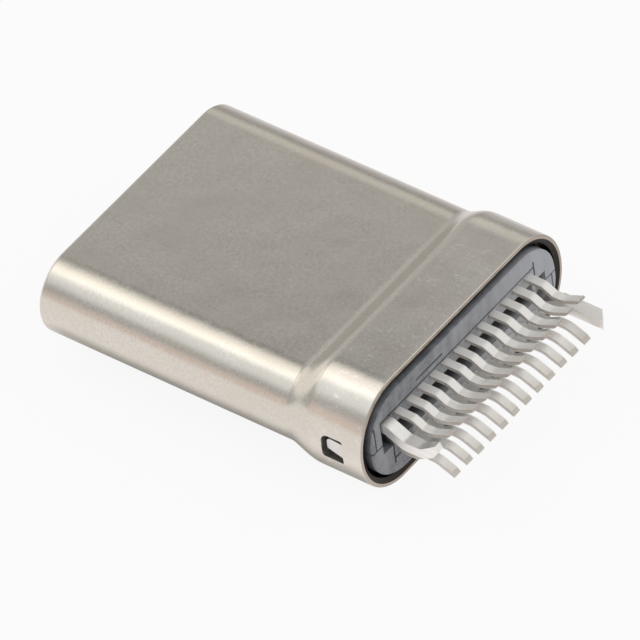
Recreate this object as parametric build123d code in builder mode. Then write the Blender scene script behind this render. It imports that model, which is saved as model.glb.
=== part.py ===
"""USB-C cable plug with solder tails that straddle the edge of a board.

Millimetres. X is the width, Z is up, and Y runs from the mouth at 0 to the tails. The origin is
the middle of the mouth. Apart from the two latch tails the plug is the same when it is turned
half round about Y, so the lower pieces are the upper ones turned.
"""

import os
from math import atan, tan

from build123d import *

# Shell
sheet = 0.25  # wall of the drawn shell
nose_side_flat = 0.04  # the nose has nearly full-round ends
shoulder_start = 7.76
shoulder_length = 0.94
shoulder_steps = 5
side_rise = 0.125  # from the nose out to the flare, each side
top_rise = 0.50
flare_side_flat = 0.20
flare_length = 1.60
mouth_round = 0.13
rim_chamfer = 0.05

# Lanced tab in each side of the flare
window_place = 0.36  # behind the end of the shoulder
window_length = 0.66
window_bottom = -0.32
window_top = 0.42
window_cut = 0.16  # off its upper front corner
window_corner = 0.07
tab_slit = 0.10  # ahead of the tab's free end
tab_bottom = -0.08
tab_top = 0.35
tab_cut = 0.12
tab_dip = 0.11  # how far its free end is bent inward
tab_room = 0.05

# Fits
slip = 0.02  # mouldings in the shell
contact_fit = 0.01  # contacts in their channels
plate_fit = 0.01  # latch plate between the carriers
parting_gap = 0.02  # between the two carriers
flange_gap = 0.12  # round the flanges, inside the rim

# Contacts, from the tip in the mouth to the end of the tail
contact_count = 12
pitch = 0.50
contact_width = 0.25
contact_sheet = 0.12
beam_tip = 2.92
beam_tip_height = 0.48  # inner face of the strip, here and below, above the middle plane
beam_lead = 0.38  # from the tip to where it touches
beam_touch_height = 0.28
root_height = 0.58
tail_root = 0.52  # straight out of the carrier
tail_slope = 0.31
tail_height = 0.40  # the soldering length
tail_flat = 0.36
tail_rise = 0.57
tail_tip_height = 0.66
tip_coin = 0.05
tip_coin_length = 0.12
beam_touch_radius = 0.30
beam_root_gap = 0.13
root_radius = 0.60
bend_radius = 0.12
kink_radius = 0.16
curl_radius = 0.20

# Front housing
housing_start = 0.25
housing_room = 1.16  # from its rear end to the shoulder
row_margin = 0.575  # cavity past the outermost contacts
cavity_height = 1.00
cavity_corner = 0.30
cavity_lead_in = 0.12
housing_side = 0.405  # walls round the cavity
housing_roof = 0.43
housing_chamfer = 0.06
contact_slot_room = 0.03
contact_slot_lead = 0.14  # ahead of the contacts' tips
slot_skin = 0.13  # left between a contact slot and the shell
arm_slot_lead = 0.22  # ahead of the latch arms
arm_slot_clearance = 0.03

# Carriers
carrier_gap = 0.02  # behind the front housing
flange_setback = 0.08  # from the end of the shoulder
flange_proud = 0.08  # past the rim
flange_front_chamfer = 0.12
flange_rear_chamfer = 0.04
board_slot_room = 0.025  # past the outermost contacts
board_slot_height = 0.66
board_slot_depth = 0.78
peg_across = 1.80
peg_place = 1.15  # behind the front edge of the latch plate
peg_radius = 0.32
peg_length = 0.24  # past the latch plate
peg_fit = 0.03
witness_height = 0.73
witness_width = 0.06
witness_depth = 0.12
witness_past = 0.06  # beyond the opening for the latch tail
mark_across = 1.34
mark_height = 0.97
mark_length = 1.10
mark_width = 0.07
mark_depth = 0.05
groove_width = 0.05  # along the parting line and up the end of each flange
groove_depth = 0.08
side_groove_margin = 0.16  # from the end of the flange

# Latch plate
latch_sheet = 0.30
plate_gap = 0.15  # behind the front housing
plate_room_ahead = 0.18  # to the floor of the board slot
plate_side_gap = 0.275  # to the shell
arm_setback = 0.05  # from the side of the cavity
arm_width = 0.28
arm_tip = 1.62
hook_bite = 0.18  # into the cavity
hook_setback = 0.18  # from the arm's tip
hook_ramp = 0.18
hook_flat = 0.10
hook_slope = 0.34
arm_root_round = 0.25
arm_tip_round = 0.08
plate_step_gap = 0.20
latch_tail_gap = 0.185  # from the outermost contacts
latch_tail_width = 0.35
latch_tail_room = 0.04
latch_rise_lead = 0.04  # behind the floor of the board slot
latch_rise_length = 0.52
latch_exit_height = 0.42  # inner face where it leaves the flange
latch_top_length = 0.30
latch_drop_length = 0.52
latch_inner_radius = 0.45
latch_outer_radius = 0.15
latch_tail_height = 0.14
hook_tail_flat = 0.68
hook_tail_rise = 0.58
hook_tail_tip_height = 0.55
hook_tail_radius = 0.65
hook_tail_thin = 0.13
hook_tail_thin_length = 0.32
hook_tail_taper = 0.24
hook_tail_taper_length = 0.84
blade_tail_flat = 1.44
blade_tail_slant = 0.26
latch_opening_reach = 0.30  # its edge beyond the middle plane
latch_slit_width = 0.06
latch_slit_reach = 0.93
latch_slit_depth = 0.40

# Ground springs
spring_sheet = 0.08
spring_tip = 0.84
spring_tip_height = 0.60
spring_lead = 0.41  # from the tip to where it touches
spring_touch_height = 0.42
spring_slope = 0.80
spring_flat = 0.65
spring_bar_gap = 0.12
spring_touch_radius = 0.25
spring_bend_radius = 0.20
spring_margin = 0.025  # from the rounding of the housing
finger_count = 4
finger_width = 0.90
finger_margin = 0.07
finger_room = 0.06

# How the sizes above fit together, across
row_half = ((contact_count - 1) * pitch + contact_width) / 2
cavity_width = 2 * (row_half + row_margin)
housing_width = cavity_width + 2 * housing_side
housing_height = cavity_height + 2 * housing_roof
nose_width = housing_width + 2 * (sheet + slip)
nose_height = housing_height + 2 * (sheet + slip)
nose_corner = (nose_height - nose_side_flat) / 2
flare_width = nose_width + 2 * side_rise
flare_height = nose_height + 2 * top_rise
flare_corner = (flare_height - flare_side_flat) / 2
housing_corner = nose_corner - sheet - slip
housing_top = housing_height / 2
slot_ceiling = housing_top - slot_skin
contact_slot_width = contact_width + 2 * contact_slot_room
flange_width = flare_width - 2 * (sheet + flange_gap)
flange_height = flare_height - 2 * (sheet + flange_gap)
flange_corner = flare_corner - sheet - flange_gap
board_slot_width = 2 * (row_half + board_slot_room)
plate_room = latch_sheet / 2 + plate_fit
plate_half_width = nose_width / 2 - sheet - plate_side_gap
arm_inner = cavity_width / 2 + arm_setback
arm_outer = arm_inner + arm_width
hook_reach = cavity_width / 2 - hook_bite
latch_tail_inner = row_half + latch_tail_gap
latch_tail_outer = latch_tail_inner + latch_tail_width
spring_height = housing_top - spring_sheet  # inner face of the flat part
spring_half_width = housing_width / 2 - housing_corner - spring_margin
finger_pitch = (2 * (spring_half_width - finger_margin) - finger_width) / (finger_count - 1)

# How they fit together, along the plug
flare_start = shoulder_start + shoulder_length
shell_length = flare_start + flare_length
window_start = flare_start + window_place
window_end = window_start + window_length
tab_start = window_start + tab_slit
housing_end = shoulder_start - housing_room
contact_slot_start = beam_tip - contact_slot_lead
arm_slot_start = arm_tip - arm_slot_lead
carrier_start = housing_end + carrier_gap
flange_start = flare_start + flange_setback
flange_end = shell_length + flange_proud
board_slot_start = flange_end - board_slot_depth
plate_start = housing_end + plate_gap
plate_end = board_slot_start - plate_room_ahead
peg_along = plate_start + peg_place
tail_bend = flange_end + tail_root
tail_kink = tail_bend + tail_slope
tail_curl = tail_kink + tail_flat
tail_tip = tail_curl + tail_rise
hook_front = arm_tip + hook_setback
hook_peak = hook_front + hook_ramp
hook_back = hook_peak + hook_flat + hook_slope
latch_rise_start = board_slot_start + latch_rise_lead
latch_rise_end = latch_rise_start + latch_rise_length
latch_drop_start = latch_rise_end + latch_top_length
latch_drop_end = latch_drop_start + latch_drop_length
hook_tail_curl = latch_drop_end + hook_tail_flat
hook_tail_tip = hook_tail_curl + hook_tail_rise
hook_tail_taper_start = hook_tail_tip - hook_tail_taper_length
blade_tail_tip = latch_drop_end + blade_tail_flat
spring_touch = spring_tip + spring_lead
spring_bend = spring_touch + spring_slope
spring_end = spring_bend + spring_flat
shoulder_angle = atan(top_rise / shoulder_length)
wall_shift = sheet * tan(shoulder_angle / 2)
across = flare_width + flare_height  # longer than anything that is cut
end_room = 1.0  # how far a cut runs past an open end


def cross(distance):
    """Plane across the plug at a distance from the mouth. Its X is the plug's X, its Y is down."""
    return Plane(origin=(0, distance, 0), x_dir=(1, 0, 0), z_dir=(0, 1, 0))


def block(x, y, z, mode=Mode.SUBTRACT):
    """Box between two limits each way, cut from the current part unless told otherwise."""
    with Locations(((x[0] + x[1]) / 2, (y[0] + y[1]) / 2, (z[0] + z[1]) / 2)):
        Box(x[1] - x[0], y[1] - y[0], z[1] - z[0], mode=mode)


def strip(path, radii, thickness):
    """Bent strip seen from the side: its lower face follows the path from the mouth rearward."""
    with BuildSketch(Plane.YZ) as profile:
        with BuildLine():
            face = FilletPolyline(*path, radius=radii)
            offset(face, amount=thickness, side=Side.LEFT, mode=Mode.ADD)
        make_face()
    return profile.sketch_local


def spread(profile, start, end, mode=Mode.ADD):
    """Run a side profile from one place across the width to another, in the current part."""
    with BuildSketch(Plane.YZ.offset(start)) as side_view:
        add(profile)
    extrude(side_view.sketch, amount=end - start, mode=mode)


def places(count, step):
    """Middles of a row that is centred on the plug's axis."""
    return [(number - (count - 1) / 2) * step for number in range(count)]


def sleeve(inset, start, end, shift):
    """Nose, shoulder and flare in one solid, smaller all round by an inset."""
    foot = shoulder_start + shift
    with BuildPart() as body:
        with BuildSketch(cross(start)):
            RectangleRounded(nose_width - 2 * inset, nose_height - 2 * inset, nose_corner - inset)
        extrude(amount=foot - start)
        for step in range(shoulder_steps + 1):
            share = step / shoulder_steps
            rise = share**2 * (3 - 2 * share)
            with BuildSketch(cross(foot + share * shoulder_length)):
                RectangleRounded(
                    nose_width + 2 * (rise * side_rise - inset),
                    nose_height + 2 * (rise * top_rise - inset),
                    nose_corner + rise * (flare_corner - nose_corner) - inset,
                )
        loft()
        with BuildSketch(cross(foot + shoulder_length)):
            RectangleRounded(flare_width - 2 * inset, flare_height - 2 * inset, flare_corner - inset)
        extrude(amount=end - foot - shoulder_length)
    return body.part


def window():
    """The cut through the wall on the +X side of the flare."""
    with BuildPart() as cut:
        with BuildSketch(Plane.YZ) as outline:
            Polygon(
                (window_start, window_bottom),
                (window_end, window_bottom),
                (window_end, window_top),
                (window_start + window_cut, window_top),
                (window_start, window_top - window_cut),
                align=None,
            )
            fillet(outline.vertices(), window_corner)
        extrude(amount=flare_width)
    return cut.part


def tab():
    """Tongue of the wall in the +X window, rooted at its rear edge and bent in at the front."""
    outer = flare_width / 2 - slip
    inner = outer - sheet
    root = window_end + sheet / 2
    with BuildPart() as tongue:
        with BuildSketch(Plane.XY.offset(tab_bottom)):
            Polygon(
                (outer, root),
                (outer - tab_dip, tab_start),
                (inner - tab_dip, tab_start),
                (inner + slip, root),
                align=None,
            )
        extrude(amount=tab_top - tab_bottom)
        free_end = tongue.faces().sort_by(Axis.Y)[0]
        chamfer(free_end.edges().sort_by(Axis.Z)[-1], tab_cut)
    return tongue.part


with BuildPart() as shell:
    add(sleeve(0, 0, shell_length, 0))
    fillet(shell.faces().sort_by(Axis.Y)[0].edges(), mouth_round)
    add(sleeve(sheet, -end_room, shell_length + end_room, wall_shift), mode=Mode.SUBTRACT)
    chamfer(shell.faces().sort_by(Axis.Y)[-1].edges(), rim_chamfer)
    for angle in (0, 180):
        add(window().rotate(Axis.Y, angle), mode=Mode.SUBTRACT)
        add(tab().rotate(Axis.Y, angle))
shell.part.label = "shell"


with BuildPart() as front_housing:
    with BuildSketch(cross(housing_start)):
        RectangleRounded(housing_width, housing_height, housing_corner)
    extrude(amount=housing_end - housing_start)
    with BuildSketch(cross(housing_start)):
        RectangleRounded(cavity_width, cavity_height, cavity_corner)
    extrude(amount=housing_end - housing_start, mode=Mode.SUBTRACT)
    mouth = front_housing.faces().sort_by(Axis.Y)[0]
    chamfer(mouth.inner_wires()[0].edges(), cavity_lead_in)
    chamfer(front_housing.faces().sort_by(Axis.Y)[0].outer_wire().edges(), housing_chamfer)
    arm_gap = latch_sheet / 2 + arm_slot_clearance
    block((-across, across), (arm_slot_start, housing_end + end_room), (-arm_gap, arm_gap))
    for up in (1, -1):
        for middle in places(contact_count, pitch):
            block(
                (middle - contact_slot_width / 2, middle + contact_slot_width / 2),
                (contact_slot_start, housing_end + end_room),
                sorted((0, up * slot_ceiling)),
            )
        block(
            (-spring_half_width - slip, spring_half_width + slip),
            (spring_tip - finger_room, spring_end + slip),
            sorted((up * (spring_height - slip), up * across)),
        )
        for middle in places(finger_count, finger_pitch):
            block(
                (middle - finger_width / 2 - finger_room, middle + finger_width / 2 + finger_room),
                (spring_tip - finger_room, spring_bend + finger_room),
                sorted((0, up * across)),
            )
front_housing.part.label = "front_housing"


finger_profile = strip(
    [
        (spring_tip, spring_tip_height),
        (spring_touch, spring_touch_height),
        (spring_bend, spring_height),
        (spring_end, spring_height),
    ],
    [spring_touch_radius, spring_bend_radius],
    spring_sheet,
)
with BuildPart() as emi_spring_top:
    for middle in places(finger_count, finger_pitch):
        spread(finger_profile, middle - finger_width / 2, middle + finger_width / 2)
    block(
        (-spring_half_width, spring_half_width),
        (spring_bend + spring_bar_gap, spring_end),
        (spring_height, spring_height + spring_sheet),
        mode=Mode.ADD,
    )
emi_spring_top.part.label = "emi_spring_top"

with BuildPart() as emi_spring_bottom:
    add(emi_spring_top.part.rotate(Axis.Y, 180))
emi_spring_bottom.part.label = "emi_spring_bottom"


with BuildPart() as upper_carrier:
    with BuildSketch(cross(flange_start)):
        RectangleRounded(flange_width, flange_height, flange_corner)
    extrude(amount=flange_end - flange_start)
    chamfer(upper_carrier.faces().sort_by(Axis.Y)[0].edges(), flange_front_chamfer)
    chamfer(upper_carrier.faces().sort_by(Axis.Y)[-1].edges(), flange_rear_chamfer)
    with BuildSketch(cross(carrier_start)):
        RectangleRounded(housing_width, housing_height, housing_corner)
    extrude(amount=board_slot_start - carrier_start)
    past = flange_end + end_room
    block((-across, across), (0, past), (-across, parting_gap / 2))
    block((-across, across), (0, flange_start), (0, plate_room))
    block(
        (-plate_half_width - slip, plate_half_width + slip),
        (0, plate_end + slip),
        (0, plate_room),
    )
    block(
        (-board_slot_width / 2, board_slot_width / 2),
        (board_slot_start, past),
        (0, board_slot_height / 2),
    )
    opening = (latch_tail_inner - latch_tail_room, latch_tail_outer + latch_tail_room)
    block(opening, (plate_end, past), (0, witness_height))
    block((-opening[1], -opening[0]), (plate_end, past), (0, latch_opening_reach))
    block(
        (-opening[0] - latch_slit_width, -opening[0]),
        (flange_end - latch_slit_depth, past),
        (latch_opening_reach - slip, latch_slit_reach),
    )
    for middle in places(contact_count, pitch):
        block(
            (middle - contact_width / 2 - contact_fit, middle + contact_width / 2 + contact_fit),
            (0, past),
            (root_height - contact_fit, root_height + contact_sheet + contact_fit),
        )
    block(
        (-opening[0] - witness_past, opening[1]),
        (flange_end - witness_depth, past),
        (witness_height, witness_height + witness_width),
    )
    block(
        (mark_across - mark_length / 2, mark_across + mark_length / 2),
        (flange_end - mark_depth, past),
        (mark_height - mark_width / 2, mark_height + mark_width / 2),
    )
    block((-across, across), (flange_end - groove_depth, past), (0, groove_width / 2))
    side_groove = flange_width / 2 - side_groove_margin
    block(
        (side_groove - groove_width, side_groove),
        (flange_end - groove_depth, past),
        (0, flange_height),
    )
    notch = flare_width / 2 - slip - sheet - tab_dip - tab_room
    block(
        (notch, across),
        (tab_start - tab_room, window_end + sheet),
        (0, tab_top + tab_room),
    )
    block(
        (-across, -notch),
        (tab_start - tab_room, window_end + sheet),
        (0, tab_room - tab_bottom),
    )
    with Locations((peg_across, peg_along, plate_room)):
        Cylinder(peg_radius, latch_sheet + peg_length, align=(Align.CENTER, Align.CENTER, Align.MAX))
    with Locations((-peg_across, peg_along, plate_room)):
        Cylinder(
            peg_radius + peg_fit,
            peg_length + peg_fit,
            align=(Align.CENTER, Align.CENTER, Align.MIN),
            mode=Mode.SUBTRACT,
        )
upper_carrier.part.label = "upper_carrier"

with BuildPart() as lower_carrier:
    add(upper_carrier.part.rotate(Axis.Y, 180))
lower_carrier.part.label = "lower_carrier"


latch_bends = [
    (latch_rise_start, -latch_sheet / 2),
    (latch_rise_end, latch_exit_height),
    (latch_drop_start, latch_exit_height),
    (latch_drop_end, latch_tail_height),
]
hook_side = strip(
    [
        (plate_end - latch_sheet, -latch_sheet / 2),
        *latch_bends,
        (hook_tail_curl, latch_tail_height),
        (hook_tail_tip, hook_tail_tip_height),
    ],
    [latch_inner_radius, latch_outer_radius, latch_outer_radius, latch_inner_radius, hook_tail_radius],
    latch_sheet,
)
tip = Vector(hook_tail_tip, hook_tail_tip_height)
rise = (tip - Vector(hook_tail_curl, latch_tail_height)).normalized()
with BuildSketch() as hook_tail:
    add(hook_side)
    Polygon(
        tip,
        tip + rise.rotate(Axis.Z, 90) * hook_tail_thin,
        tip - rise * hook_tail_thin_length,
        align=None,
        mode=Mode.SUBTRACT,
    )
blade_side = strip(
    [
        (plate_end - latch_sheet, -latch_sheet / 2),
        *latch_bends,
        (blade_tail_tip, latch_tail_height),
    ],
    [latch_inner_radius, latch_outer_radius, latch_outer_radius, latch_inner_radius],
    latch_sheet,
)
blade_tail = mirror(blade_side, about=Plane.XZ)
hook_tail_past = hook_tail_tip + latch_sheet
with BuildPart() as latch_plate:
    with BuildSketch(Plane.XY.offset(-latch_sheet / 2)) as outline:
        with BuildLine():
            Polyline(
                (0, plate_start),
                (arm_inner, plate_start),
                (arm_inner, hook_back),
                (hook_reach, hook_peak + hook_flat),
                (hook_reach, hook_peak),
                (arm_inner, hook_front),
                (arm_inner, arm_tip),
                (arm_outer, arm_tip),
                (arm_outer, flange_start - plate_step_gap),
                (plate_half_width, flange_start - plate_step_gap),
                (plate_half_width, plate_end),
                (0, plate_end),
            )
            mirror(about=Plane.YZ)
        make_face()
        roots = outline.vertices().filter_by_position(Axis.Y, plate_start, plate_start)
        fillet(roots.filter_by(lambda corner: abs(abs(corner.X) - arm_inner) < slip), arm_root_round)
        tips = outline.vertices().filter_by_position(Axis.Y, arm_tip, arm_tip)
        fillet(tips, arm_tip_round)
        for middle in (-peg_across, peg_across):
            with Locations((middle, peg_along)):
                Circle(peg_radius + peg_fit, mode=Mode.SUBTRACT)
    extrude(amount=latch_sheet)
    spread(hook_tail.sketch, latch_tail_inner, latch_tail_outer)
    spread(blade_tail, -latch_tail_outer, -latch_tail_inner)
    with BuildSketch(Plane.XY.offset(-across / 2)):
        Polygon(
            (latch_tail_inner, hook_tail_taper_start),
            (latch_tail_inner + hook_tail_taper, hook_tail_past),
            (latch_tail_inner - slip, hook_tail_past),
            (latch_tail_inner - slip, hook_tail_taper_start),
            align=None,
        )
        Polygon(
            (-latch_tail_inner, blade_tail_tip),
            (-latch_tail_outer, blade_tail_tip - blade_tail_slant),
            (-latch_tail_outer, blade_tail_tip + slip),
            (-latch_tail_inner, blade_tail_tip + slip),
            align=None,
        )
    extrude(amount=across, mode=Mode.SUBTRACT)
latch_plate.part.label = "latch_plate"


contact_profile = strip(
    [
        (beam_tip, beam_tip_height),
        (beam_tip + beam_lead, beam_touch_height),
        (carrier_start - beam_root_gap, root_height),
        (tail_bend, root_height),
        (tail_kink, tail_height),
        (tail_curl, tail_height),
        (tail_tip, tail_tip_height),
    ],
    [beam_touch_radius, root_radius, bend_radius, kink_radius, curl_radius],
    contact_sheet,
)


def contact(middle):
    """Stamped contact of the upper row, its tip coined on the side that meets the board."""
    with BuildPart() as blank:
        spread(contact_profile, middle - contact_width / 2, middle + contact_width / 2)
        end = blank.faces().sort_by(Axis.Y)[-1]
        chamfer(end.edges().sort_by(Axis.Z)[0], tip_coin, tip_coin_length, reference=end)
    return blank.part


os.makedirs("parts", exist_ok=True)
pieces = [
    shell,
    front_housing,
    emi_spring_top,
    emi_spring_bottom,
    upper_carrier,
    lower_carrier,
    latch_plate,
]
for piece in pieces:
    export_step(piece.part, f"parts/{piece.part.label}.step")

for number, middle in enumerate(places(contact_count, pitch), start=1):
    with BuildPart() as contact_upper:
        add(contact(middle))
    contact_upper.part.label = f"contact_upper_{number:02d}"
    export_step(contact_upper.part, f"parts/{contact_upper.part.label}.step")
    with BuildPart() as contact_lower:
        add(contact(middle).rotate(Axis.Y, 180))
    contact_lower.part.label = f"contact_lower_{number:02d}"
    export_step(contact_lower.part, f"parts/{contact_lower.part.label}.step")
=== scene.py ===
from math import atan, cos, pi, radians, sin, tan

import bpy
from mathutils import Matrix, Vector


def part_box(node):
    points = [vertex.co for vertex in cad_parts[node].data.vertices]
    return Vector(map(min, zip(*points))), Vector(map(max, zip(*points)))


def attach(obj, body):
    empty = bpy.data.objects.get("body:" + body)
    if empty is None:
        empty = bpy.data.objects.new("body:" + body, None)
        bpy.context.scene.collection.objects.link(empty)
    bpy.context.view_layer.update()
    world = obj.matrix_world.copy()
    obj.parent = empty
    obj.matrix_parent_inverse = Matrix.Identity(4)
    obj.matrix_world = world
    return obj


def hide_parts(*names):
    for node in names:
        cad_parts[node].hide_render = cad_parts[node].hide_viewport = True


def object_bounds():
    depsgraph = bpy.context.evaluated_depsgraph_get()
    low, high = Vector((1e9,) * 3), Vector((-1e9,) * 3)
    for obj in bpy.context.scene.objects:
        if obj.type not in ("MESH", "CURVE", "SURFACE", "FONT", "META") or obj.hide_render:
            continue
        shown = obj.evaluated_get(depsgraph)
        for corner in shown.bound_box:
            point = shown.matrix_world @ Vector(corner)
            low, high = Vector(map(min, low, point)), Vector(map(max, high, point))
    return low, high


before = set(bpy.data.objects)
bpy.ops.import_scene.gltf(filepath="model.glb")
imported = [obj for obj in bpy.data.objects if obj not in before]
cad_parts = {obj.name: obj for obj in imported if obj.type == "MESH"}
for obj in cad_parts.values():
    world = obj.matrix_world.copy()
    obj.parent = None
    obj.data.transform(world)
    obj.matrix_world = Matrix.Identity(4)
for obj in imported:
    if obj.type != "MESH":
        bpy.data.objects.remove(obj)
cad_low, cad_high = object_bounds()

# Everything below is in millimetres and turned to metres by mm
mm = 0.001

# Shell, as it is drawn and trimmed
sheet = 0.25
nose_width = 8.25
nose_height = 2.40
nose_corner = 1.18
flare_width = (cad_high.x - cad_low.x) / mm
flare_height = (cad_high.z - cad_low.z) / mm
shell_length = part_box("shell")[1].y / mm
mouth_round = 0.12
shoulder_start = 7.76
shoulder_end = 8.70

# Rear rim: a narrow crest, then a slope into the flare, whose flat top reaches this far to each side
rim_round = 0.035
rim_crest = 0.11
rim_slope = 0.07
crest_round = 0.01
flare_flat = 2.6

# Lanced tab in each side of the flare
window_start = 9.06
window_end = 9.72
window_bottom = -0.32
window_top = 0.42
window_corner = 0.07
window_cut = 0.20
tab_start = 9.16
tab_bottom = -0.08
tab_top = 0.35
tab_cut = 0.15
tab_dip = 0.11
tab_taper = 0.11

# Contacts: inner face of the strip from the mouth rearward, as (along, height, bend)
contact_count = 12
pitch = 0.50
contact_width = 0.25
contact_sheet = 0.12
contact_edge = 0.018
contact_path = [
    (2.92, 0.48, 0.0),
    (3.30, 0.28, 0.30),
    (6.49, 0.58, 0.60),
    (10.90, 0.58, 0.12),
    (11.21, 0.40, 0.16),
    (11.57, 0.40, 0.60),
    (12.03, 0.61, 0.0),
    (12.14, 0.66, 0.0),
]
tip = contact_path[-1][0]
coined_from = contact_path[-2][0]
coin = 0.05
sway = 0.02
carrier_end = 10.38
gold_end = 5.2

# Marks of the finishes, as their number to a millimetre. Tumbling leaves a grain of about 0.02 mm,
# glass fibres are 0.01 mm thick, rolling lines 0.01 mm apart, and the grains of matt tin and of rolled
# strip are about 0.005 mm. They are too fine for the render, so they are drawn as coarse as they need
# to show.
tumbled_grain = 13.0
glass_fibres = 12.0
rolling_lines = 9.0
strip_grain = 18.0
tin_grain = 20.0

# Larger marks, at their own size: about 1.4 mm for the clouds in the nickel, 1.1 mm for the waves of
# the drawn sheet, 0.2 mm for scuffs and tin streaks, 0.9 mm for flow marks, 1.2 mm for the card's mottle
# and 0.8 mm between pits, whose radius is a share of that
nickel_clouds = 0.7
drawn_waves = 0.9
scuffs = 5.0
tin_streaks = 5.0
flow_marks = 1.1
card_mottle = 0.8
pit_cells = 1.3
pit_radius = 0.03

# Rows of points along the shoulder and the tab, and points in each rounding
shoulder_rows = 24
tab_rows = 4
side_points = 32
mouth_points = 6
window_points = 5
bend_points = 7
edge_points = 2

# Camera: where it stands, seen from its aim, how it rolls, and how far the view slides right and up
camera_azimuth = radians(47.2747)
camera_elevation = radians(43.7867)
camera_roll = radians(-8.4746)
camera_distance = 327.99
camera_aim = Vector((0, 4.5, 0))
camera_slide = (-1.0618, 1.0420)
camera_sensor = 36.0
camera_lens = 731.6


def linear(code):
    """Linear colour, with alpha, of an sRGB hex value."""
    channels = [int(code[place:place + 2], 16) / 255 for place in (1, 3, 5)]
    return (*[c / 12.92 if c <= 0.04045 else ((c + 0.055) / 1.055) ** 2.4 for c in channels], 1.0)


def node(tree, kind, links=None, kept=None, **settings):
    """Add a node with its settings. Links give an input a value, a socket, a node or a list to join.

    A node stands for its first output in use. What is kept is the kind of value that a capture stores.
    """
    made = tree.nodes.new(kind)
    if kept:
        made.capture_items.new(kept, "Kept")
    for name, value in settings.items():
        setattr(made, name, value)
    for name, given in (links or {}).items():
        for source in given if isinstance(given, list) else [given]:
            if isinstance(source, bpy.types.Node):
                source = next(output for output in source.outputs if output.enabled)
            if isinstance(source, bpy.types.NodeSocket):
                tree.links.new(source, made.inputs[name])
            else:
                made.inputs[name].default_value = source
    return made


def blank_material(name):
    """A material with nothing in it but the place on the piece, in millimetres."""
    made = bpy.data.materials.new(name)
    made.use_nodes = True
    tree = made.node_tree
    tree.nodes.clear()
    place = node(tree, "ShaderNodeTexCoord").outputs["Object"]
    scaled = node(tree, "ShaderNodeMapping", {"Vector": place, "Scale": (1 / mm, 1 / mm, 1 / mm)})
    return made, tree, scaled


def marks(tree, place, per_mm, detail=2.0, roughness=0.5, stretch=(1, 1, 1)):
    """Uneven marks of a finish, so many to a millimetre, drawn out where the stretch is below 1."""
    spread = node(tree, "ShaderNodeMapping", {"Vector": place, "Scale": stretch})
    return node(
        tree,
        "ShaderNodeTexNoise",
        {"Vector": spread, "Scale": per_mm, "Detail": detail, "Roughness": roughness},
    )


def painted(tree, ground, coats):
    """A ground colour under coats, each a mask and the colour where it is 1, all as sRGB hex values."""
    tone = linear(ground)
    for mask, coat in coats:
        tone = node(tree, "ShaderNodeMix", {0: mask, 6: tone, 7: linear(coat)}, data_type="RGBA")
    return tone


def product(tree, first, *others):
    """Values or masks multiplied by each other."""
    for other in others:
        first = node(tree, "ShaderNodeMath", {0: first, 1: other}, operation="MULTIPLY")
    return first


def between(tree, value, low, high):
    """1 where a value lies between two limits."""
    above = node(tree, "ShaderNodeMath", {0: value, 1: low}, operation="GREATER_THAN")
    below = node(tree, "ShaderNodeMath", {0: value, 1: high}, operation="LESS_THAN")
    return product(tree, above, below)


def seen_from_side(tree, parts):
    """Side a point is on, 1 or -1, how far out it is, and its height, counted downwards on side -1."""
    side = node(tree, "ShaderNodeMath", {0: parts["X"]}, operation="SIGN")
    far = node(tree, "ShaderNodeMath", {0: parts["X"]}, operation="ABSOLUTE")
    return side, far, product(tree, parts["Z"], side)


def facing(tree, normal):
    """How much a surface faces sideways, to either side, and how much rearward."""
    parts = node(tree, "ShaderNodeSeparateXYZ", {"Vector": normal}).outputs
    return node(tree, "ShaderNodeMath", {0: parts["X"]}, operation="ABSOLUTE"), parts["Y"]


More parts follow.
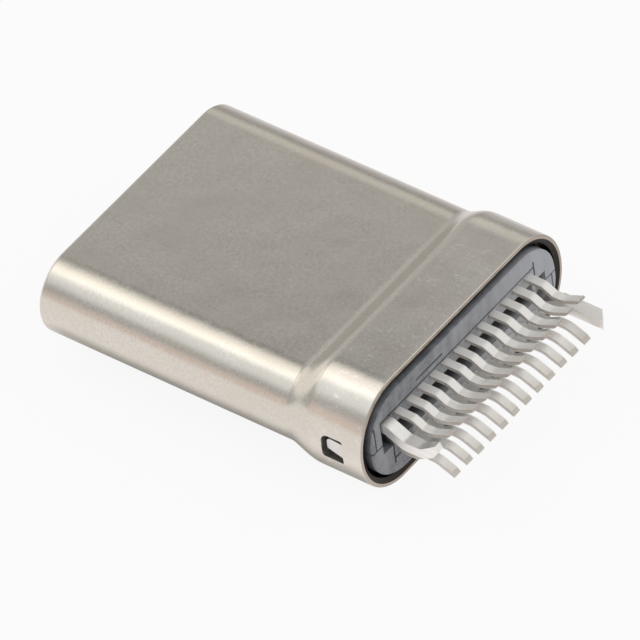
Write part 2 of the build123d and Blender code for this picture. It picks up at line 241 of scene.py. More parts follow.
def satin_nickel():
    """Deep-drawn stainless steel, nickel plated and tumbled: soft warm grey with a fine sandy grain.

    The sheared window edges are paler, the tab has a painted sheen, both are rougher, and the gap inside
    the rear rim is dull and dark with painted shade.
    """
    made, tree, place = blank_material("satin_nickel_plate")
    parts = node(tree, "ShaderNodeSeparateXYZ", {"Vector": place}).outputs
    along = parts["Y"]
    _, far, height = seen_from_side(tree, parts)
    normal = node(tree, "ShaderNodeNewGeometry").outputs["Normal"]
    sideways, rearward = facing(tree, normal)

    grain = marks(tree, place, tumbled_grain, 2.0, 0.65)
    grainy = node(tree, "ShaderNodeMapRange", {"Value": grain, "From Min": 0.35, "From Max": 0.65})
    clouds = marks(tree, place, nickel_clouds, 3.0)
    cloudy = node(
        tree, "ShaderNodeMapRange", {"Value": clouds, "From Min": 0.35, "From Max": 0.65, "To Max": 0.5}
    )
    cells = node(tree, "ShaderNodeTexVoronoi", {"Vector": place, "Scale": pit_cells})
    nearest = cells.outputs["Distance"]
    pits = node(tree, "ShaderNodeMath", {0: nearest, 1: pit_radius}, operation="LESS_THAN")

    # Burnished scuffs on the flare, from its fit in the tooling, most on the crests of the sheet's waves
    waves = marks(tree, place, drawn_waves, 1.0)
    crests = node(
        tree, "ShaderNodeMapRange", {"Value": waves, "From Min": 0.40, "From Max": 0.62, "To Min": 0.4}
    )
    strokes = marks(tree, place, scuffs, 3.0, 0.7, (1.6, 0.7, 1))
    struck = node(
        tree,
        "ShaderNodeMapRange",
        {"Value": strokes, "From Min": 0.58, "From Max": 0.70, "To Min": 0.16, "To Max": 0.66},
    )
    flared = node(
        tree,
        "ShaderNodeMapRange",
        {"Value": along, "From Min": shoulder_end - 0.1, "From Max": shoulder_end + 0.2},
    )
    scuffed = product(tree, struck, crests, flared)

    # The sheared edges of the sheet round the window, paler, and a painted sheen on the tab, paler towards
    # its free end
    slack = 0.02
    upright = node(tree, "ShaderNodeMath", {0: sideways, 1: 0.5}, operation="LESS_THAN")
    edges = product(
        tree,
        between(tree, along, window_start - slack, window_end + slack),
        between(tree, height, window_bottom - slack, window_top + slack),
        upright,
        0.45,
    )
    tab_sheen_fade = node(
        tree,
        "ShaderNodeMapRange",
        {"Value": along, "From Min": tab_start + 0.2, "From Max": window_end, "To Min": 1.0, "To Max": 0.0},
    )
    tabbed = product(
        tree,
        between(tree, along, tab_start - slack / 2, window_end - slack / 2),
        between(tree, height, tab_bottom - slack / 2, tab_top + slack / 2),
        tab_sheen_fade,
    )
    flank = node(tree, "ShaderNodeMath", {0: far, 1: flare_width / 2 - 2 * sheet}, operation="GREATER_THAN")
    cut_edges_and_tab_sheen = product(tree, node(tree, "ShaderNodeMath", {0: edges, 1: tabbed}, operation="MAXIMUM"), flank)

    # The rear rim's crest, brownish and darker on its rearward face
    last = node(tree, "ShaderNodeMath", {0: along, 1: shell_length - 0.05}, operation="GREATER_THAN")
    crest = node(
        tree, "ShaderNodeMapRange", {"Value": rearward, "From Min": 0.6, "From Max": 0.9, "To Max": 0.6}
    )
    crest = product(tree, crest, last)

    # Painted shade inside the rear rim, on what faces the middle of the plug
    core = node(tree, "ShaderNodeClamp", {"Value": parts["X"], "Min": -flare_flat, "Max": flare_flat})
    aside = node(tree, "ShaderNodeMath", {0: parts["X"], 1: core}, operation="SUBTRACT")
    radial = node(tree, "ShaderNodeCombineXYZ", {"X": aside, "Z": parts["Z"]})
    outward = node(tree, "ShaderNodeVectorMath", {0: normal, 1: radial}, operation="DOT_PRODUCT")
    inward = node(
        tree,
        "ShaderNodeMapRange",
        {"Value": outward, "From Min": -0.5, "From Max": -0.15, "To Min": 1.0, "To Max": 0.0},
    )
    rear = node(
        tree,
        "ShaderNodeMapRange",
        {"Value": along, "From Min": shell_length - 0.6, "From Max": shell_length - 0.4},
    )
    painted_gap_shade = product(tree, inward, rear)

    tone = painted(
        tree,
        "#D0CBBF",
        [
            (grainy, "#DBD6CB"),
            (cloudy, "#D1CABD"),
            (product(tree, pits, 0.45), "#8A857C"),
            (scuffed, "#FFFBF4"),
            # Paler cut edges, and painted sheen on the tab
            (product(tree, cut_edges_and_tab_sheen, 0.75), "#F6F6F8"),
            (crest, "#8A7765"),
            # Painted shade in the gap inside the rear rim
            (painted_gap_shade, "#3A3633"),
        ],
    )
    satin = node(
        tree,
        "ShaderNodeMapRange",
        {"Value": grain, "From Min": 0.3, "From Max": 0.7, "To Min": 0.17, "To Max": 0.25},
    )
    dull_and_shade = node(tree, "ShaderNodeMath", {0: cut_edges_and_tab_sheen, 1: painted_gap_shade}, operation="MAXIMUM")
    rough = node(tree, "ShaderNodeMath", {0: satin, 1: product(tree, dull_and_shade, 0.3)}, operation="ADD")
    wavy = node(tree, "ShaderNodeBump", {"Strength": 1.0, "Distance": 0.015 * mm, "Height": waves})
    bump = node(
        tree, "ShaderNodeBump", {"Strength": 0.3, "Distance": 0.004 * mm, "Height": grain, "Normal": wavy}
    )
    shader = node(
        tree,
        "ShaderNodeBsdfPrincipled",
        {"Base Color": tone, "Metallic": 1.0, "Roughness": rough, "Normal": bump},
    )
    node(tree, "ShaderNodeOutputMaterial", {"Surface": shader})
    return made


def plated_contact():
    """Phosphor bronze strip: hard gold where it wipes the other half, matt tin on the tail.

    The tin has painted shade, darker towards the tip, and the sides and end are darker and brownish.
    """
    made, tree, place = blank_material("tin_and_gold_plate")
    along = node(tree, "ShaderNodeSeparateXYZ", {"Vector": place}).outputs["Y"]
    sideways, rearward = facing(tree, node(tree, "ShaderNodeNewGeometry").outputs["Normal"])
    streaks = marks(tree, place, tin_streaks, 3.0, 0.6, (1, 0.4, 1))
    grain = marks(tree, place, tin_grain)
    bright = node(tree, "ShaderNodeMapRange", {"Value": streaks, "From Min": 0.35, "From Max": 0.7})

    # The gold ends in a ragged line
    ragged = node(tree, "ShaderNodeMath", {0: along, 1: product(tree, streaks, 0.3)}, operation="ADD")
    gold = node(
        tree,
        "ShaderNodeMapRange",
        {"Value": ragged, "From Min": gold_end, "From Max": gold_end + 0.25, "To Min": 1.0, "To Max": 0.0},
    )
    # Painted shade, darker towards the tip
    dull_and_shade = node(
        tree,
        "ShaderNodeMapRange",
        {"Value": along, "From Min": tip - 0.45, "From Max": tip - 0.1, "To Max": 0.45},
    )

    # Darker, brownish end and sides
    end = node(
        tree, "ShaderNodeMapRange", {"Value": rearward, "From Min": 0.6, "From Max": 0.8, "To Max": 0.5}
    )
    last = node(tree, "ShaderNodeMath", {0: along, 1: coined_from}, operation="GREATER_THAN")
    sides = node(
        tree, "ShaderNodeMapRange", {"Value": sideways, "From Min": 0.8, "From Max": 0.95, "To Max": 0.4}
    )
    brownish_end_and_sides = node(tree, "ShaderNodeMath", {0: product(tree, end, last), 1: sides}, operation="MAXIMUM")

    tone = painted(
        tree, "#FEFBF5", [(bright, "#FFFFFB"), (gold, "#D8B368"), (dull_and_shade, "#DDD9CF"), (brownish_end_and_sides, "#978878")]
    )
    rough = node(
        tree,
        "ShaderNodeMapRange",
        {"Value": streaks, "From Min": 0.3, "From Max": 0.7, "To Min": 0.58, "To Max": 0.70},
    )
    bump = node(tree, "ShaderNodeBump", {"Strength": 0.3, "Distance": 0.003 * mm, "Height": grain})
    shader = node(
        tree,
        "ShaderNodeBsdfPrincipled",
        {"Base Color": tone, "Metallic": 1.0, "Roughness": rough, "Normal": bump},
    )
    node(tree, "ShaderNodeOutputMaterial", {"Surface": shader})
    return made


def filled_resin():
    """Glass-filled liquid crystal polymer, moulded: grey, satin, with the flow marks of its fibres.

    It has painted light, a little paler towards -X, and painted shade, dark with depth behind the rear rim.
    """
    made, tree, place = blank_material("glass_filled_resin")
    parts = node(tree, "ShaderNodeSeparateXYZ", {"Vector": place}).outputs
    flow = marks(tree, place, flow_marks, 3.0, 0.6, (1.5, 1, 0.35))
    fibres = marks(tree, place, glass_fibres, 2.0, 0.5, (0.5, 1, 1))
    flowing = node(tree, "ShaderNodeMapRange", {"Value": flow, "From Min": 0.32, "From Max": 0.68})
    fibrous = node(
        tree, "ShaderNodeMapRange", {"Value": fibres, "From Min": 0.45, "From Max": 0.75, "To Max": 0.4}
    )
    # Painted light: the resin is paler towards -X
    painted_side_light = node(
        tree, "ShaderNodeMapRange", {"Value": parts["X"], "From Min": 0.5, "From Max": -3.8, "To Max": 0.75}
    )
    # Painted shade, dark with depth behind the rear rim
    recess_shade = node(
        tree,
        "ShaderNodeMapRange",
        {"Value": parts["Y"], "From Min": shell_length, "From Max": shell_length - 0.2, "To Max": 0.8},
    )
    behind = node(tree, "ShaderNodeMath", {0: parts["Y"], 1: shoulder_end}, operation="GREATER_THAN")
    tone = painted(
        tree,
        "#6A6C71",
        [
            (flowing, "#A8AAAE"),
            (fibrous, "#B2B4B8"),
            (painted_side_light, "#C4C6CB"),
            (product(tree, recess_shade, behind), "#2E2B2B"),
        ],
    )
    rough = node(
        tree,
        "ShaderNodeMapRange",
        {"Value": fibres, "From Min": 0.3, "From Max": 0.7, "To Min": 0.42, "To Max": 0.56},
    )
    bump = node(tree, "ShaderNodeBump", {"Strength": 0.3, "Distance": 0.005 * mm, "Height": fibres})
    shader = node(
        tree,
        "ShaderNodeBsdfPrincipled",
        {"Base Color": tone, "Roughness": rough, "Normal": bump, "IOR": 1.6},
    )
    node(tree, "ShaderNodeOutputMaterial", {"Surface": shader})
    return made


def stamped_steel(name, dark, light):
    """Stainless spring strip, stamped and bent: cool grey with fine rolling lines along the strip."""
    made, tree, place = blank_material(name)
    rolling = marks(tree, place, rolling_lines, 3.0, 0.6, (1, 0.08, 1))
    grain = marks(tree, place, strip_grain)
    lined = node(tree, "ShaderNodeMapRange", {"Value": rolling, "From Min": 0.3, "From Max": 0.7})
    rough = node(
        tree,
        "ShaderNodeMapRange",
        {"Value": grain, "From Min": 0.3, "From Max": 0.7, "To Min": 0.38, "To Max": 0.50},
    )
    bump = node(tree, "ShaderNodeBump", {"Strength": 0.1, "Distance": 0.002 * mm, "Height": rolling})
    shader = node(
        tree,
        "ShaderNodeBsdfPrincipled",
        {
            "Base Color": painted(tree, dark, [(lined, light)]),
            "Metallic": 1.0,
            "Roughness": rough,
            "Normal": bump,
        },
    )
    node(tree, "ShaderNodeOutputMaterial", {"Surface": shader})
    return made


def white_card():
    """Seamless matt card. The camera sees it white, with a faint shadow.

    Metal sees it white towards +X and greyer towards -X, and close by with the plug's own soft shadow.
    """
    made, tree, place = blank_material("white_card")
    tone = painted(tree, "#EFEFEE", [(marks(tree, place, card_mottle), "#F3F3F2")])
    matt = node(tree, "ShaderNodeBsdfDiffuse", {"Color": tone})

    # How far a point is from the ground that the shell covers
    middle = (0, window_end / 2, 0)
    footprint = (nose_width / 2, window_end / 2, flare_height)
    offset = node(tree, "ShaderNodeVectorMath", {0: place, 1: middle}, operation="SUBTRACT")
    apart = node(tree, "ShaderNodeVectorMath", {0: offset}, operation="ABSOLUTE")
    apart = node(tree, "ShaderNodeVectorMath", {0: apart, 1: footprint}, operation="SUBTRACT")
    apart = node(tree, "ShaderNodeVectorMath", {0: apart, 1: (0, 0, 0)}, operation="MAXIMUM")
    apart = node(tree, "ShaderNodeVectorMath", {0: apart}, operation="LENGTH")
    clear = node(
        tree,
        "ShaderNodeMapRange",
        {"Value": apart, "From Min": -0.2, "From Max": 1.2},
        interpolation_type="SMOOTHSTEP",
    )

    # Brighter towards +X, from 16 mm to 2 mm before the plug's middle
    across = node(tree, "ShaderNodeSeparateXYZ", {"Vector": place}).outputs["X"]
    level = node(
        tree,
        "ShaderNodeMapRange",
        {"Value": across, "From Min": -16.0, "From Max": -2.0, "To Min": 0.56, "To Max": 1.03},
    )
    ray = node(tree, "ShaderNodeLightPath").outputs
    straight = node(
        tree,
        "ShaderNodeMath",
        {0: ray["Is Camera Ray"], 1: ray["Is Transmission Ray"]},
        operation="MAXIMUM",
    )
    strength = node(tree, "ShaderNodeMapRange", {"Value": straight, "To Min": level, "To Max": 1.0})
    tint = painted(tree, "#FFFCFE", [(straight, "#FFFFFF")])
    glow = node(tree, "ShaderNodeEmission", {"Color": tint, "Strength": strength})
    seen = product(tree, straight, 0.9)
    mirrored = product(tree, ray["Is Glossy Ray"], clear)
    share = node(tree, "ShaderNodeMath", {0: seen, 1: mirrored}, operation="MAXIMUM")
    shader = node(tree, "ShaderNodeMixShader", {0: share, 1: matt, 2: glow})
    node(tree, "ShaderNodeOutputMaterial", {"Surface": shader})
    return made


def group(name, inputs):
    """A geometry tree with named inputs. Returns the tree, its input node and its output node."""
    tree = bpy.data.node_groups.new(name, "GeometryNodeTree")
    tree.interface.new_socket("Geometry", in_out="INPUT", socket_type="NodeSocketGeometry")
    for label, kind in inputs:
        tree.interface.new_socket(label, in_out="INPUT", socket_type=kind)
    tree.interface.new_socket("Geometry", in_out="OUTPUT", socket_type="NodeSocketGeometry")
    return tree, tree.nodes.new("NodeGroupInput"), tree.nodes.new("NodeGroupOutput")


def grown(name, base, tree, values):
    """Run a tree on a base mesh and keep the result as a plain mesh object of that name."""
    seed = bpy.data.objects.new(name + "_base", base)
    bpy.context.scene.collection.objects.link(seed)
    modifier = seed.modifiers.new("shape", "NODES")
    modifier.node_group = tree
    sockets = {s.name: s.identifier for s in tree.interface.items_tree if s.in_out == "INPUT"}
    for label, value in values.items():
        modifier[sockets[label]] = value
    depsgraph = bpy.context.evaluated_depsgraph_get()
    mesh = bpy.data.meshes.new_from_object(seed.evaluated_get(depsgraph), depsgraph=depsgraph)
    bpy.data.objects.remove(seed)
    mesh.name = name
    piece = bpy.data.objects.new(name, mesh)
    bpy.context.scene.collection.objects.link(piece)
    return piece


def line_mesh(name, points, closed, **numbers):
    """Mesh of edges through points given in millimetres, with a named number for each point."""
    count = len(points)
    edges = [(i, (i + 1) % count) for i in range(count if closed else count - 1)]
    mesh = bpy.data.meshes.new(name)
    mesh.from_pydata([Vector(p) * mm for p in points], edges, [])
    for label, values in numbers.items():
        made = mesh.attributes.new(label, "FLOAT", "POINT")
        made.data.foreach_set("value", [v * mm for v in values])
    return mesh


def sharp_by_angle(tree, geometry, angle):
    """Shade smooth, but keep edges that turn by more than an angle."""
    smooth = node(tree, "GeometryNodeSetShadeSmooth", {"Geometry": geometry}, domain="FACE")
    turn = node(tree, "GeometryNodeInputMeshEdgeAngle")
    hard = node(tree, "FunctionNodeCompare", {0: turn.outputs["Unsigned Angle"], 1: angle})
    return node(
        tree,
        "GeometryNodeSetShadeSmooth",
        {"Geometry": smooth, "Selection": hard, "Shade Smooth": False},
        domain="EDGE",
    )


def contact_tree():
    """Strip swept along its bends, one on each point of the row."""
    tree, given, out = group(
        "contact_row",
        [
            ("Count", "NodeSocketInt"),
            ("Pitch", "NodeSocketFloat"),
            ("Width", "NodeSocketFloat"),
            ("Sheet", "NodeSocketFloat"),
            ("Edge", "NodeSocketFloat"),
            ("Coin", "NodeSocketFloat"),
            ("Sway", "NodeSocketFloat"),
            ("Tail Start", "NodeSocketFloat"),
            ("Tail End", "NodeSocketFloat"),
            ("Seed", "NodeSocketInt"),
            ("Finish", "NodeSocketMaterial"),
        ],
    )
    size = given.outputs
    bend = node(tree, "GeometryNodeInputNamedAttribute", {"Name": "bend"}, data_type="FLOAT")
    path = node(tree, "GeometryNodeMeshToCurve", {"Mesh": size["Geometry"]})
    bent = node(
        tree,
        "GeometryNodeFilletCurve",
        {"Curve": path, "Radius": bend, "Count": bend_points, "Limit Radius": True},
        mode="POLY",
    )
    level = node(tree, "GeometryNodeSetCurveNormal", {"Curve": bent, "Normal": (1, 0, 0)}, mode="FREE")
    tangent = node(tree, "GeometryNodeInputTangent")
    headed = node(tree, "GeometryNodeCaptureAttribute", {"Geometry": level, "Kept": tangent}, "VECTOR")
    last = node(tree, "GeometryNodeCurveEndpointSelection", {"Start Size": 0, "End Size": 1})
    ended = node(tree, "GeometryNodeCaptureAttribute", {"Geometry": headed, "Kept": last}, "FLOAT")
    section = node(
        tree,
        "GeometryNodeCurvePrimitiveQuadrilateral",
        {"Width": size["Width"], "Height": size["Sheet"]},
    )
    rounded = node(
        tree,
        "GeometryNodeFilletCurve",
        {"Curve": section, "Radius": size["Edge"], "Count": edge_points, "Limit Radius": True},
        mode="POLY",
    )
    across = node(tree, "ShaderNodeSeparateXYZ", {"Vector": node(tree, "GeometryNodeInputPosition")})
    faced = node(
        tree, "GeometryNodeCaptureAttribute", {"Geometry": rounded, "Kept": across.outputs["Y"]}, "FLOAT"
    )
    lift = node(tree, "ShaderNodeCombineXYZ", {"Y": product(tree, size["Sheet"], -0.5)})
    seated = node(tree, "GeometryNodeTransform", {"Geometry": faced, "Translation": lift})
    strip = node(
        tree, "GeometryNodeCurveToMesh", {"Curve": ended, "Profile Curve": seated, "Fill Caps": True}
    )

    # The tip is coined: its end is pressed thinner from the side that meets the board
    inner = node(tree, "ShaderNodeMath", {0: faced.outputs["Kept"], 1: 0.0}, operation="GREATER_THAN")
    squeeze = product(tree, inner, ended.outputs["Kept"], size["Coin"])
    away = node(
        tree, "ShaderNodeVectorMath", {0: (1, 0, 0), 1: headed.outputs["Kept"]}, operation="CROSS_PRODUCT"
    )
    press = node(tree, "ShaderNodeVectorMath", {0: away, "Scale": squeeze}, operation="SCALE")
    strip = node(tree, "GeometryNodeSetPosition", {"Geometry": strip, "Offset": press})

    step = node(tree, "ShaderNodeCombineXYZ", {"X": size["Pitch"]})
    row = node(tree, "GeometryNodeMeshLine", {"Count": size["Count"], "Offset": step}, mode="OFFSET")
    chance = node(
        tree,
        "FunctionNodeRandomValue",
        {"Min": (-1, -1, -1), "Max": (1, 1, 1), "Seed": size["Seed"]},
        data_type="FLOAT_VECTOR",
    )
    leaning = node(tree, "GeometryNodeCaptureAttribute", {"Geometry": row, "Kept": chance}, "VECTOR")
    spots = node(tree, "GeometryNodeInstanceOnPoints", {"Points": leaning, "Instance": strip})
    real = node(tree, "GeometryNodeRealizeInstances", {"Geometry": spots})

    # Each tail strays a little from its neighbours, more towards its tip, and less sideways than up
    place = node(tree, "ShaderNodeSeparateXYZ", {"Vector": node(tree, "GeometryNodeInputPosition")})
    reach = node(
        tree,
        "ShaderNodeMapRange",
        {
            "Value": place.outputs["Y"],
            "From Min": size["Tail Start"],
            "From Max": size["Tail End"],
            "To Max": size["Sway"],
        },
        interpolation_type="SMOOTHSTEP",
    )
    lean = node(
        tree, "ShaderNodeVectorMath", {0: leaning.outputs["Kept"], 1: (0.6, 0, 1)}, operation="MULTIPLY"
    )
    stray = node(tree, "ShaderNodeVectorMath", {0: lean, "Scale": reach}, operation="SCALE")
    real = node(tree, "GeometryNodeSetPosition", {"Geometry": real, "Offset": stray})
    shaded = sharp_by_angle(tree, real, radians(15))
    dressed = node(tree, "GeometryNodeSetMaterial", {"Geometry": shaded, "Material": size["Finish"]})
    tree.links.new(dressed.outputs[0], out.inputs["Geometry"])
    return tree


def side_bar(tree, middle, size, corner, front_corner):
    """Bar that runs through the side wall along X. Its section has one larger corner, upper front."""
    parts = node(tree, "ShaderNodeSeparateXYZ", {"Vector": size})
    section = node(
        tree,
        "GeometryNodeCurvePrimitiveQuadrilateral",
        {"Width": parts.outputs["Y"], "Height": parts.outputs["Z"]},
    )
    number = node(tree, "GeometryNodeInputIndex")
    upper_front = node(tree, "FunctionNodeCompare", {2: number, 3: 1}, data_type="INT", operation="EQUAL")
    radius = node(
        tree,
        "GeometryNodeSwitch",
        {"Switch": upper_front, "False": corner, "True": front_corner},
        input_type="FLOAT",
    )
    section = node(
        tree,
        "GeometryNodeFilletCurve",
        {"Curve": section, "Radius": radius, "Count": window_points, "Limit Radius": True},
        mode="POLY",
    )
    ends = [product(tree, parts.outputs["X"], share) for share in (-0.5, 0.5)]
    start, end = [node(tree, "ShaderNodeCombineXYZ", {"Z": place}) for place in ends]
    path = node(tree, "GeometryNodeCurvePrimitiveLine", {"Start": start, "End": end})
    path = node(tree, "GeometryNodeSetCurveNormal", {"Curve": path, "Normal": (1, 0, 0)}, mode="FREE")
    bar = node(
        tree, "GeometryNodeCurveToMesh", {"Curve": path, "Profile Curve": section, "Fill Caps": True}
    )
    sideways = Matrix(((0, 0, 1), (1, 0, 0), (0, 1, 0))).to_euler()
    return node(
        tree, "GeometryNodeTransform", {"Geometry": bar, "Rotation": sideways, "Translation": middle}
    )


def shell_tree():
    """Wall swept round the nose's outline, widened past the shoulder, then pierced and lanced."""
    tree, given, out = group(
        "drawn_shell",
        [
            ("Nose Width", "NodeSocketFloat"),
            ("Nose Height", "NodeSocketFloat"),
            ("Nose Corner", "NodeSocketFloat"),
            ("Rise", "NodeSocketFloat"),
            ("Squeeze", "NodeSocketFloat"),
            ("Shoulder Start", "NodeSocketFloat"),
            ("Shoulder End", "NodeSocketFloat"),
            ("Window Middle", "NodeSocketVector"),
            ("Window Size", "NodeSocketVector"),
            ("Window Corner", "NodeSocketFloat"),
            ("Window Cut", "NodeSocketFloat"),
            ("Tab Middle", "NodeSocketVector"),
            ("Tab Size", "NodeSocketVector"),
            ("Tab Cut", "NodeSocketFloat"),
            ("Tab Dip", "NodeSocketFloat"),
            ("Tab Taper", "NodeSocketFloat"),
            ("Finish", "NodeSocketMaterial"),
        ],
    )
    size = given.outputs
    rounding = node(tree, "GeometryNodeInputNamedAttribute", {"Name": "round"}, data_type="FLOAT")
    lag = node(tree, "GeometryNodeInputNamedAttribute", {"Name": "lag"}, data_type="FLOAT")
    wall = node(tree, "GeometryNodeMeshToCurve", {"Mesh": size["Geometry"]})
    wall = node(
        tree,
        "GeometryNodeFilletCurve",
        {"Curve": wall, "Radius": rounding, "Count": mouth_points, "Limit Radius": True},
        mode="POLY",
    )
    outline = node(
        tree,
        "GeometryNodeCurvePrimitiveQuadrilateral",
        {"Width": size["Nose Width"], "Height": size["Nose Height"]},
    )
    outline = node(
        tree,
        "GeometryNodeFilletCurve",
        {"Curve": outline, "Radius": size["Nose Corner"], "Count": side_points, "Limit Radius": True},
        mode="POLY",
    )
    tangent = node(tree, "GeometryNodeInputTangent")
    headed = node(tree, "GeometryNodeCaptureAttribute", {"Geometry": outline, "Kept": tangent}, "VECTOR")
    around = node(tree, "GeometryNodeSetCurveNormal", {"Curve": headed, "Normal": (0, 0, 1)}, mode="FREE")
    tube = node(tree, "GeometryNodeCurveToMesh", {"Curve": around, "Profile Curve": wall})

    # The wall moves out along its own normal past the shoulder, and the ends are drawn in a little
    place = node(tree, "GeometryNodeInputPosition")
    parts = node(tree, "ShaderNodeSeparateXYZ", {"Vector": place})
    along = node(tree, "ShaderNodeMath", {0: parts.outputs["Z"], 1: lag}, operation="SUBTRACT")
    share = node(
        tree,
        "ShaderNodeMapRange",
        {"Value": along, "From Min": size["Shoulder Start"], "From Max": size["Shoulder End"]},
        interpolation_type="SMOOTHSTEP",
    )
    outward = node(
        tree, "ShaderNodeVectorMath", {0: headed.outputs["Kept"], 1: (0, 0, 1)}, operation="CROSS_PRODUCT"
    )
    step = product(tree, share, size["Rise"])
    moved = node(tree, "ShaderNodeVectorMath", {0: outward, "Scale": step}, operation="SCALE")
    moved = node(tree, "ShaderNodeVectorMath", {0: place, 1: moved}, operation="ADD")
    drawn_in = product(tree, share, size["Squeeze"])
    narrow = node(tree, "ShaderNodeMath", {0: 1.0, 1: drawn_in}, operation="SUBTRACT")
    factor = node(tree, "ShaderNodeCombineXYZ", {"X": narrow, "Y": 1.0, "Z": 1.0})
    moved = node(tree, "ShaderNodeVectorMath", {0: moved, 1: factor}, operation="MULTIPLY")
    formed = node(tree, "GeometryNodeSetPosition", {"Geometry": tube, "Position": moved})
    laid = node(tree, "GeometryNodeTransform", {"Geometry": formed, "Rotation": (radians(-90), 0, 0)})
    laid = node(tree, "GeometryNodeFlipFaces", {"Mesh": laid})

    # A slot round three sides of each tab leaves it held at its rear edge
    hole = side_bar(
        tree, size["Window Middle"], size["Window Size"], size["Window Corner"], size["Window Cut"]
    )
    tab = side_bar(tree, size["Tab Middle"], size["Tab Size"], 0.0, size["Tab Cut"])
    cut = {"operation": "DIFFERENCE", "solver": "EXACT"}
    slot = node(tree, "GeometryNodeMeshBoolean", {"Mesh 1": hole, "Mesh 2": tab}, **cut)
    other = node(tree, "GeometryNodeTransform", {"Geometry": slot, "Rotation": (0, pi, 0)})
    pierced = node(tree, "GeometryNodeMeshBoolean", {"Mesh 1": laid, "Mesh 2": [slot, other]}, **cut)

    # Each tab's own points lie on the side wall within its size, or a hair past it
    parts = node(tree, "ShaderNodeSeparateXYZ", {"Vector": node(tree, "GeometryNodeInputPosition")}).outputs
    side, far, height = seen_from_side(tree, parts)
    middle = node(tree, "ShaderNodeSeparateXYZ", {"Vector": size["Tab Middle"]})
    span = node(tree, "ShaderNodeSeparateXYZ", {"Vector": size["Tab Size"]})
    above = node(tree, "ShaderNodeMath", {0: height, 1: middle.outputs["Z"]}, operation="SUBTRACT")
    over = node(tree, "ShaderNodeMath", {0: parts["Y"], 1: middle.outputs["Y"]}, operation="SUBTRACT")
    half = 0.501
    bottom, top = [product(tree, span.outputs["Z"], share) for share in (-half, half)]
    front, back = [product(tree, span.outputs["Y"], share) for share in (-half, half)]
    inner = product(tree, size["Nose Width"], 0.45)
    flank = node(tree, "ShaderNodeMath", {0: far, 1: inner}, operation="GREATER_THAN")
    tabbed = product(tree, between(tree, above, bottom, top), between(tree, over, front, back), flank)

    # Each tab is bent in, most at its free end, where its upper edge dips too
    free = node(
        tree,
        "ShaderNodeMapRange",
        {"Value": over, "From Min": front, "From Max": back, "To Min": -1.0, "To Max": 0.0},
    )
    free = product(tree, free, side)
    raised = node(tree, "ShaderNodeMapRange", {"Value": above, "From Min": 0.0, "From Max": top})
    inward = product(tree, free, size["Tab Dip"])
    lowered = product(tree, free, raised, size["Tab Taper"])
    dip = node(tree, "ShaderNodeCombineXYZ", {"X": inward, "Z": lowered})
    bent = node(tree, "GeometryNodeSetPosition", {"Geometry": pierced, "Selection": tabbed, "Offset": dip})
    shaded = sharp_by_angle(tree, bent, radians(35))
    dressed = node(tree, "GeometryNodeSetMaterial", {"Geometry": shaded, "Material": size["Finish"]})
    tree.links.new(dressed.outputs[0], out.inputs["Geometry"])
    return tree


def soft_patch(tree, gaze, aim, full, faint, strength):
    """Round patch of the sky: full within one angle of its aim, in degrees, and gone past another."""
    nearness = node(
        tree, "ShaderNodeVectorMath", {0: gaze, 1: Vector(aim).normalized()}, operation="DOT_PRODUCT"
    )
    return node(
        tree,
        "ShaderNodeMapRange",
        {
            "Value": nearness,
            "From Min": cos(radians(faint)),
            "From Max": cos(radians(full)),
            "To Max": strength,
        },
        interpolation_type="SMOOTHSTEP",
    )


def middle_of(across, start, end, bottom, top):
    """Middle of an upright rectangle given in millimetres, in metres."""
    return Vector((across, (start + end) / 2, (bottom + top) / 2)) * mm


nickel = satin_nickel()
plating = plated_contact()
resin = filled_resin()
latch_steel = stamped_steel("latch_strip_steel", "#F2F0EA", "#FDFBF6")
spring_steel = stamped_steel("ground_spring_steel", "#BDBBB6", "#D0CEC9")

for name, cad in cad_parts.items():
    if "carrier" in name or name == "front_housing":
        finish = resin
    elif name == "latch_plate":
        finish = latch_steel
    elif name == "shell":
        finish = nickel
    elif "spring" in name:
        finish = spring_steel
    else:
        finish = plating
    cad.data.materials.clear()
    cad.data.materials.append(finish)

# Shell: its wall runs from the mouth along the outside, over the rim and back along the inside
rise = (flare_height - nose_height) / 2
squeeze = 1 - flare_width / (nose_width + 2 * rise)
slope = atan(rise / (shoulder_end - shoulder_start))
lag = sheet * tan(slope / 2)
shoulder = [
    shoulder_start + (shoulder_end - shoulder_start) * i / shoulder_rows for i in range(shoulder_rows + 1)
]
lance = [tab_start + (window_end - tab_start) * i / tab_rows for i in range(tab_rows + 1)]
outer = [0.0, *shoulder, *lance, shell_length]
inner = [shell_length - rim_slope, *reversed(lance), *[y + lag for y in reversed(shoulder)], 0.0]
plain = [0] * (len(outer) - 2)
wall_line = line_mesh(
    "shell_wall",
    [(y, 0, 0) for y in outer] + [(shell_length, -rim_crest, 0)] + [(y, -sheet, 0) for y in inner],
    True,
    round=[mouth_round, *plain, rim_round, crest_round, 0, *plain, mouth_round],
    lag=[0] * len(outer) + [0] + [lag] * len(inner),
)
wall_middle = flare_width / 2 - sheet / 2
wall_reach = 4 * sheet
shell = grown(
    "drawn_shell",
    wall_line,
    shell_tree(),
    {
        "Nose Width": nose_width * mm,
        "Nose Height": nose_height * mm,
        "Nose Corner": nose_corner * mm,
        "Rise": rise * mm,
        "Squeeze": squeeze,
        "Shoulder Start": shoulder_start * mm,
        "Shoulder End": shoulder_end * mm,
        "Window Middle": middle_of(wall_middle, window_start, window_end, window_bottom, window_top),
        "Window Size": Vector((wall_reach, window_end - window_start, window_top - window_bottom)) * mm,
        "Window Corner": window_corner * mm,
        "Window Cut": window_cut * mm,
        "Tab Middle": middle_of(wall_middle, tab_start, window_end, tab_bottom, tab_top),
        "Tab Size": Vector((2 * wall_reach, window_end - tab_start, tab_top - tab_bottom)) * mm,
        "Tab Cut": tab_cut * mm,
        "Tab Dip": tab_dip * mm,
        "Tab Taper": tab_taper * mm,
        "Finish": nickel,
    },
)
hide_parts("shell")
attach(shell, "root")

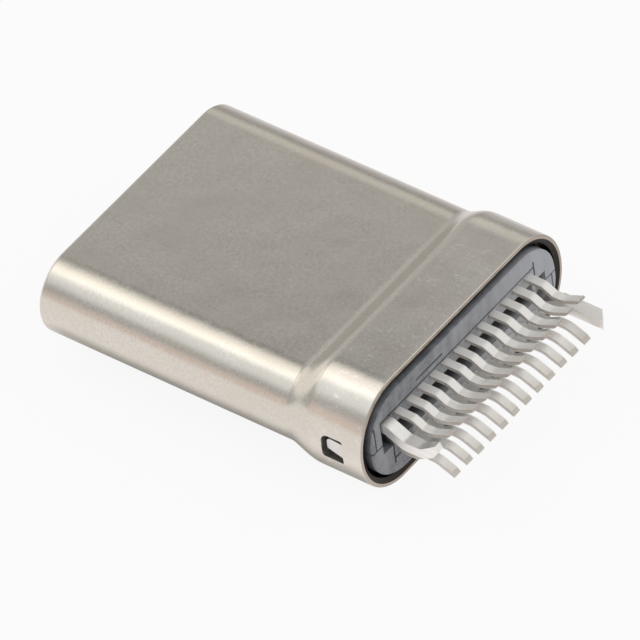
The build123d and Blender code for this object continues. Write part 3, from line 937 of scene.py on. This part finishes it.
# Contacts: the lower row is the upper one turned half round
row_start = -(contact_count - 1) / 2 * pitch
contacts = contact_tree()
for row, turn, seed in (("upper", 0, 1), ("lower", pi, 5)):
    path = line_mesh(
        "contact_path",
        [(row_start, along, height) for along, height, bend in contact_path],
        False,
        bend=[bend for along, height, bend in contact_path],
    )
    piece = grown(
        f"contacts_{row}",
        path,
        contacts,
        {
            "Count": contact_count,
            "Pitch": pitch * mm,
            "Width": contact_width * mm,
            "Sheet": contact_sheet * mm,
            "Edge": contact_edge * mm,
            "Coin": coin * mm,
            "Sway": sway * mm,
            "Tail Start": carrier_end * mm,
            "Tail End": tip * mm,
            "Seed": seed,
            "Finish": plating,
        },
    )
    piece.data.transform(Matrix.Rotation(turn, 4, "Y"))
    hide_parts(*[f"contact_{row}_{number:02d}" for number in range(1, contact_count + 1)])
    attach(piece, "root")

# Floor, which reaches this many metres to each side
reach = 3.0
floor_mesh = bpy.data.meshes.new("floor")
floor_mesh.from_pydata(
    [(x, y, cad_low.z) for x, y in ((-reach, -reach), (reach, -reach), (reach, reach), (-reach, reach))],
    [],
    [(0, 1, 2, 3)],
)
floor = bpy.data.objects.new("floor", floor_mesh)
bpy.context.scene.collection.objects.link(floor)
floor_mesh.materials.append(white_card())

# World: an even pale sky, lamps as soft patches of light, and two dark flags that dim the sky. Each has
# its aim, the angles within which it is full and past which it is gone, its strength and a lamp's tint
world = bpy.data.worlds.new("studio")
bpy.context.scene.world = world
world.use_nodes = True
sky = world.node_tree
sky.nodes.clear()
gaze = node(sky, "ShaderNodeTexCoord").outputs["Generated"]
lamps = [
    ((0.05, -0.44, 0.90), 6, 23, 0.80, "#FFF9F3"),
    ((0.45, -0.48, 0.75), 7, 26, 0.54, "#F0F6FF"),
    ((0.12, -0.75, 0.65), 5, 20, 0.50, "#FFFAF4"),
    ((0.00, -0.97, 0.22), 12, 30, 0.50, "#FFFAF4"),
    ((-0.55, 0.60, 0.58), 16, 46, 0.43, "#FFFFFF"),
    ((0.87, -0.49, 0.06), 5, 17, 0.35, "#FFD0C1"),
    ((-0.52, -0.84, 0.14), 6, 30, 0.05, "#FFFFFF"),
    ((-0.76, -0.49, 0.42), 5, 17, 0.20, "#FFF0E0"),
]
flags = [
    ((-0.42, -0.49, 0.76), 3, 10, 0.24),
    ((-0.86, -0.49, 0.13), 5, 14, 0.14),
]
level = 0.55
for aim, full, faint, strength in flags:
    flag = soft_patch(sky, gaze, aim, full, faint, strength)
    level = node(sky, "ShaderNodeMath", {0: level, 1: flag}, operation="SUBTRACT")
light = node(sky, "ShaderNodeBackground", {"Color": linear("#FDFDFF"), "Strength": level})
for aim, full, faint, strength, tint in lamps:
    patch = soft_patch(sky, gaze, aim, full, faint, strength)
    glow = node(sky, "ShaderNodeBackground", {"Color": linear(tint), "Strength": patch})
    light = node(sky, "ShaderNodeAddShader", {0: light, 1: glow})
node(sky, "ShaderNodeOutputWorld", {"Surface": light})

# Camera
toward = Vector(
    (
        sin(camera_azimuth) * cos(camera_elevation),
        cos(camera_azimuth) * cos(camera_elevation),
        sin(camera_elevation),
    )
)
level_right = (-toward).cross(Vector((0, 0, 1))).normalized()
level_up = level_right.cross(-toward)
right = cos(camera_roll) * level_right + sin(camera_roll) * level_up
up = -sin(camera_roll) * level_right + cos(camera_roll) * level_up
eye = camera_aim + toward * camera_distance - right * camera_slide[0] - up * camera_slide[1]
camera_data = bpy.data.cameras.new("camera")
camera_data.sensor_width = camera_sensor
camera_data.lens = camera_lens
camera_data.clip_start = 0.01
camera = bpy.data.objects.new("camera", camera_data)
bpy.context.scene.collection.objects.link(camera)
camera.matrix_world = Matrix.Translation(eye * mm) @ Matrix((right, up, toward)).transposed().to_4x4()
bpy.context.scene.camera = camera
bpy.context.scene.view_settings.view_transform = "Standard"
